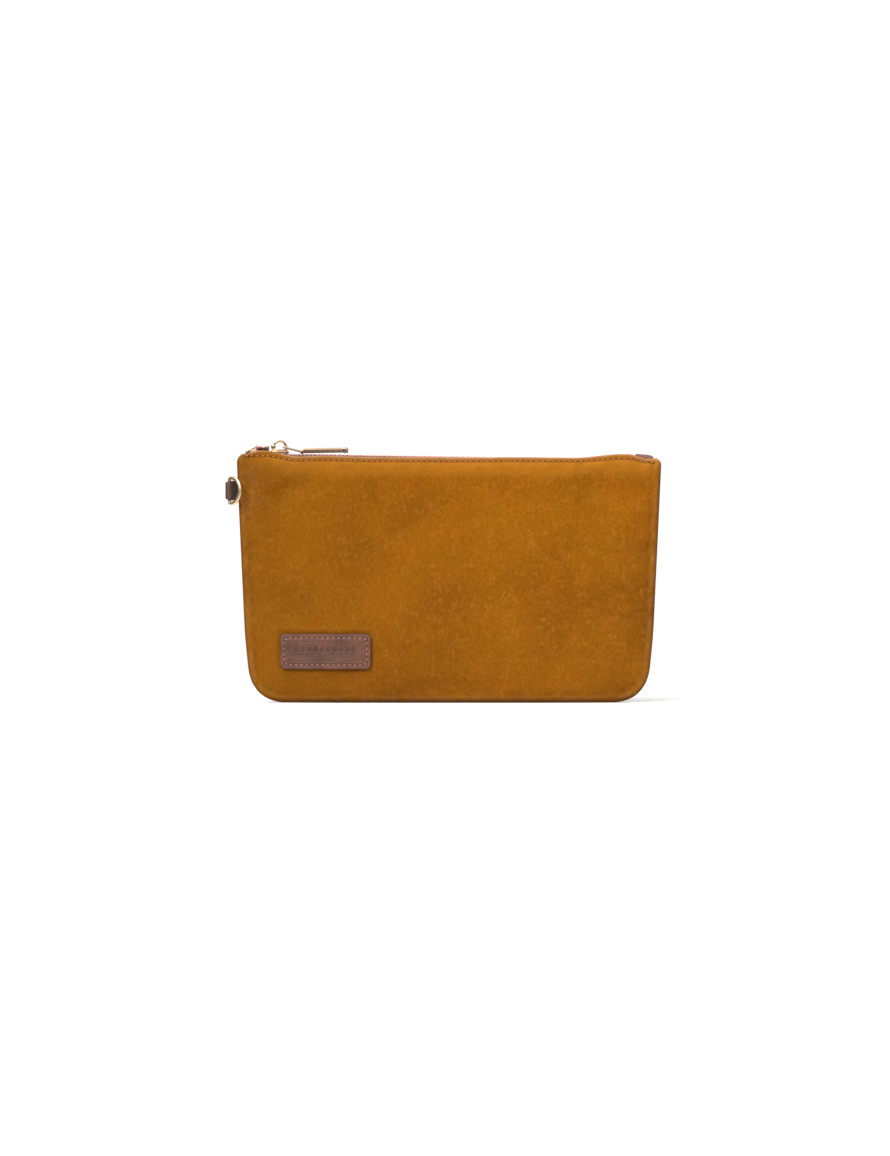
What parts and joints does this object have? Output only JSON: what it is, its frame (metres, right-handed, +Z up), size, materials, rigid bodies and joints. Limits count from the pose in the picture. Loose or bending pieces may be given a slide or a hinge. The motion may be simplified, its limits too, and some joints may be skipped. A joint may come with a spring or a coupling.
{
  "type": "wristlet wallet",
  "caption": "Flat suede zip pouch that stands on its sewn foot, with a leather-looped D-ring for a wrist strap, a stitched leather patch and a hooped slider with a bar pull.",
  "frame": {"origin": "middle of the foot, on the flat bottom of the turned seam", "axes": "+X along the pouch's width to the right as seen from the front, -Y out of the front panel with the patch, +Z up to the zip"},
  "size_m": [0.2468, 0.0199, 0.1489],
  "materials": {
    "suede": "napped suede, matte",
    "brown_leather": "smooth, waxed",
    "lining": "plain weave",
    "interlining": "felted",
    "zip_tape": "ribbed weave",
    "zip_metal": "polished, light gold",
    "gold_hardware": "polished, light gold",
    "suede_thread": "waxed thread",
    "patch_thread": "waxed thread"
  },
  "bodies": {
    "pouch": {"front_panel": "suede", "back_panel": "suede", "turned_seam": "suede", "front_interlining": "interlining", "back_interlining": "interlining", "front_lining": "lining", "back_lining": "lining", "slip_pocket": "lining", "slip_pocket_stitching": "suede_thread", "top_stitching_front": "suede_thread", "top_stitching_back": "suede_thread", "zip_tape_front": "zip_tape", "zip_tape_back": "zip_tape", "zip_teeth_front": "zip_metal", "zip_teeth_back": "zip_metal", "zip_top_stops": "zip_metal", "zip_bottom_stop": "zip_metal", "zip_start_clip": "gold_hardware", "zip_end_tab": "brown_leather", "d_ring_loop": "brown_leather", "name_patch": "brown_leather", "name_patch_stitching": "patch_thread"},
    "slider": {"slider_body": "gold_hardware", "slider_hoop": "gold_hardware"},
    "link": {"pull_link": "gold_hardware"},
    "bar": {"pull_bar": "gold_hardware"},
    "ring": {"d_ring": "gold_hardware"}
  },
  "joints": [
    {"name": "slider_slide", "type": "slide", "parent": "pouch", "child": "slider", "axis": [0.9999, 0, -0.0157], "range_m": [0, 0.185], "deforming": ["zip_teeth_front", "zip_teeth_back", "zip_end_tab"]},
    {"name": "link_hinge", "type": "hinge", "parent": "slider", "child": "link", "pos_m": [-0.09363, 0, 0.14467], "axis": [0, -1, 0], "range_deg": [0, 105]},
    {"name": "bar_hinge", "type": "hinge", "parent": "link", "child": "bar", "pos_m": [-0.08327, 0, 0.14201], "axis": [0, -1, 0], "range_deg": [0, 88]},
    {"name": "ring_hinge", "type": "hinge", "parent": "pouch", "child": "ring", "pos_m": [-0.1244, 0, 0.12], "axis": [0, 0, 1], "range_deg": [-281, 17]}
  ]
}
